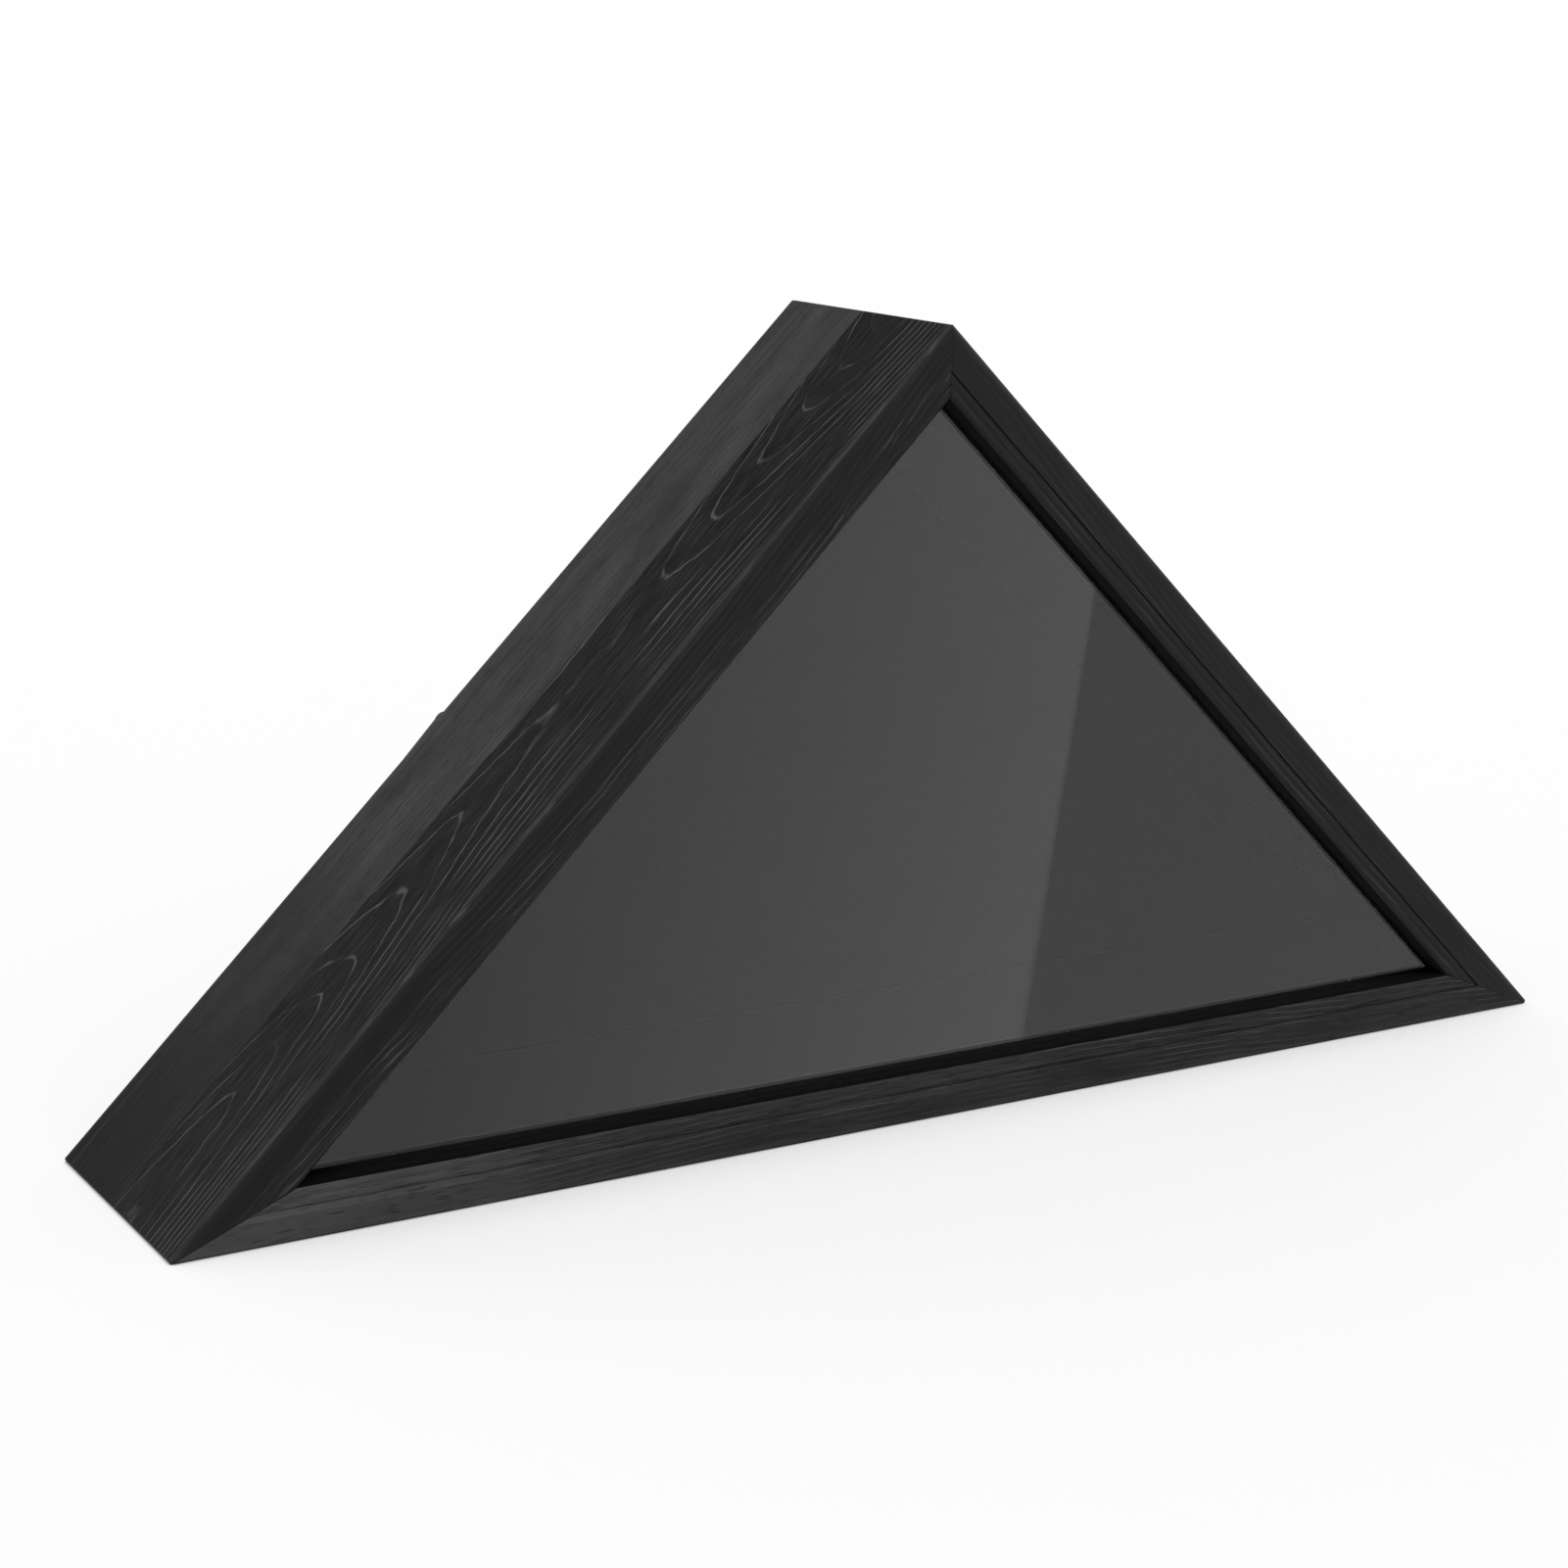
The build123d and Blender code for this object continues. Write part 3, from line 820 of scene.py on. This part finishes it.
# Wall bumpers: moulded black rubber domes stuck on the base's rear edge, which hold the
# hung case upright and keep it off the wall.
def moulded_rubber():
    """Moulded rubber: matt charcoal with a fine grain and a dusty bloom."""
    material, tree = new_material("moulded_rubber")
    place = add(tree, "TexCoord")
    # Mould grain 0.3 mm across, and bloom 2 mm across
    grain = add(tree, "TexNoise", {"Vector": place.outputs["Object"], "Scale": 1 / (0.3 * MM)})
    bloom = add(
        tree, "TexNoise", {"Vector": place.outputs["Object"], "Scale": 1 / (2 * MM), "Detail": 3.0}
    )
    colour = add(
        tree,
        "Mix",
        {"Factor": bloom, 6: linear("#161616"), 7: linear("#2a2a2a")},
        data_type="RGBA",
    )
    bump = add(tree, "Bump", {"Strength": 0.4, "Distance": 0.02 * MM, "Height": grain})
    surface = add(
        tree,
        "BsdfPrincipled",
        {"Base Color": colour.outputs[2], "Roughness": 0.75, "Normal": bump},
    )
    add(tree, "OutputMaterial", {"Surface": surface})
    return material


rubber = moulded_rubber()
for node in ("left_wall_bumper", "right_wall_bumper"):
    dress(node, rubber)


# Studio: the case stands on a plain white floor, under an even white room and one large
# soft lamp overhead. None of it is part of the case.
FLOOR_SIZE = 40
FLOOR_GLOW = 0.2
ROOM_LEVEL = 0.55
LAMP_STRENGTH = 1.45
LAMP_SPREAD = math.radians(50)
LAMP_DIRECTION = Vector((0.15, -0.25, 1.0))
CARD_FADE = math.radians(10.5)


def seen_directly(tree):
    """1 for what the camera, glass and gloss see, and 0 for what only lights other things."""
    path = add(tree, "LightPath")
    camera_or_gloss = add(
        tree,
        "Math",
        {0: path.outputs["Is Camera Ray"], 1: path.outputs["Is Glossy Ray"]},
        operation="MAXIMUM",
    )
    return add(
        tree,
        "Math",
        {0: camera_or_gloss, 1: path.outputs["Is Transmission Ray"]},
        operation="MAXIMUM",
    )


def white_paper():
    """Matt white paper: a plain floor that keeps the shadow and meets the white room."""
    material, tree = new_material("white_paper")
    glow = add(tree, "Math", {0: seen_directly(tree), 1: FLOOR_GLOW}, operation="MULTIPLY")
    surface = add(
        tree,
        "BsdfPrincipled",
        {
            "Base Color": linear("#e7e7e7"),
            "Roughness": 0.9,
            "Specular IOR Level": 0.0,
            "Emission Color": (1, 1, 1, 1),
            "Emission Strength": glow,
        },
    )
    add(tree, "OutputMaterial", {"Surface": surface})
    return material


def flat_sheet(name, points):
    """A level sheet through these points about its origin."""
    mesh = bpy.data.meshes.new(name)
    mesh.from_pydata([(x, y, 0) for x, y in points], [], [range(len(points))])
    sheet = bpy.data.objects.new(name, mesh)
    bpy.context.scene.collection.objects.link(sheet)
    return sheet


def glowing_card(name, start, end):
    """Lit card that fades from one level to another over the angle CARD_FADE at its origin."""
    material, tree = new_material(name)
    place = add(tree, "TexCoord")
    turn = add(tree, "TexGradient", {0: place.outputs["Object"]}, gradient_type="RADIAL")
    level = add(
        tree,
        "MapRange",
        {
            "Value": turn.outputs["Fac"],
            "From Min": 0.5 - CARD_FADE / math.tau,
            "From Max": 0.5,
            "To Min": start,
            "To Max": end,
        },
    )
    light = add(tree, "Emission", {"Color": (1, 1, 1, 1), "Strength": level})
    add(tree, "OutputMaterial", {"Surface": light})
    return material


def show_in_reflections_only(sheet):
    """Hide a sheet from the camera and let it neither light nor shade the case.

    The glass still mirrors it, in its front face and, through that, in its rear face.
    """
    sheet.visible_camera = False
    sheet.visible_diffuse = False
    sheet.visible_shadow = False


half = FLOOR_SIZE / 2
floor = flat_sheet("floor", [(-half, -half), (half, -half), (half, half), (-half, half)])
floor.data.materials.append(white_paper())

# Two cards lie on the floor edge to edge. The glass mirrors their meeting line as the
# slanting edge across it, with the fading card to the left and the grey one to the right.
CARD_PIVOT = (-0.528, 0.691)
CARD_THICKNESS = 0.0006
CARD_EDGE = math.radians(-52.45)
CARD_NEAR = -0.045
CARD_FAR = -2.5
for name, spread, start, end in (
    ("fading_card", math.radians(-45), 0.54, 0.955),
    ("grey_card", math.radians(30), 0.62, 0.62),
):
    points = []
    for turn, y in ((0, CARD_NEAR), (0, CARD_FAR), (spread, CARD_FAR), (spread, CARD_NEAR)):
        reach = (y - CARD_PIVOT[1]) / math.sin(CARD_EDGE + turn)
        points.append((reach * math.cos(turn), reach * math.sin(turn)))
    sheet = flat_sheet(name, points)
    sheet.location = (*CARD_PIVOT, CARD_THICKNESS)
    sheet.rotation_euler.z = CARD_EDGE
    sheet.data.materials.append(glowing_card(name, start, end))
    show_in_reflections_only(sheet)

# A dark flag hangs behind and above the left rail, so that its satin face stays black
FLAG_DIRECTION = Vector((-0.229, 0.837, 0.496))
FLAG_DISTANCE = 1.6
FLAG_LEVEL = 0.15
HALF_FLAG_X = 1.3
HALF_FLAG_Y = 1.1
LEFT_RAIL_MIDDLE = Vector((-CASE_WIDTH / 4, 0, 0.11))
flag = flat_sheet(
    "dark_flag",
    [
        (-HALF_FLAG_X, -HALF_FLAG_Y),
        (HALF_FLAG_X, -HALF_FLAG_Y),
        (HALF_FLAG_X, HALF_FLAG_Y),
        (-HALF_FLAG_X, HALF_FLAG_Y),
    ],
)
flag.location = LEFT_RAIL_MIDDLE + FLAG_DISTANCE * FLAG_DIRECTION
flag.rotation_euler = FLAG_DIRECTION.to_track_quat("Z", "Y").to_euler()
flag.data.materials.append(glowing_card("dark_flag", FLAG_LEVEL, FLAG_LEVEL))
show_in_reflections_only(flag)

world = bpy.data.worlds.new("white_room")
bpy.context.scene.world = world
world.use_nodes = True
world.node_tree.nodes.clear()
level = add(
    world.node_tree,
    "MapRange",
    {"Value": seen_directly(world.node_tree), "To Min": ROOM_LEVEL, "To Max": 1.0},
)
room = add(world.node_tree, "Background", {"Color": (1, 1, 1, 1), "Strength": level})
add(world.node_tree, "OutputWorld", {"Surface": room})

lamp_data = bpy.data.lights.new("overhead_lamp", "SUN")
lamp_data.energy = LAMP_STRENGTH
lamp_data.angle = LAMP_SPREAD
lamp = bpy.data.objects.new("overhead_lamp", lamp_data)
lamp.rotation_euler = LAMP_DIRECTION.to_track_quat("Z", "Y").to_euler()
bpy.context.scene.collection.objects.link(lamp)


# Camera: the viewing angle of a product picture, from the front left and a little above,
# with a long lens.
CAMERA_PLACE = (-0.4499, -0.7195, 0.2912)
CAMERA_AZIMUTH = math.radians(-30.5633)
CAMERA_ELEVATION = math.radians(13.6182)
CAMERA_ROLL = math.radians(0.6676)
SENSOR_WIDTH = 36
FOCAL_LENGTH = 71.62

towards_camera = Vector(
    (
        math.sin(CAMERA_AZIMUTH) * math.cos(CAMERA_ELEVATION),
        -math.cos(CAMERA_AZIMUTH) * math.cos(CAMERA_ELEVATION),
        math.sin(CAMERA_ELEVATION),
    )
)
camera_data = bpy.data.cameras.new("camera")
camera_data.sensor_width = SENSOR_WIDTH
camera_data.lens = FOCAL_LENGTH
camera = bpy.data.objects.new("camera", camera_data)
camera.location = CAMERA_PLACE
camera.rotation_mode = "QUATERNION"
upright = towards_camera.to_track_quat("Z", "Y")
camera.rotation_quaternion = upright @ Quaternion((0, 0, 1), CAMERA_ROLL)
bpy.context.scene.collection.objects.link(camera)
bpy.context.scene.camera = camera
bpy.context.scene.view_settings.view_transform = "Standard"
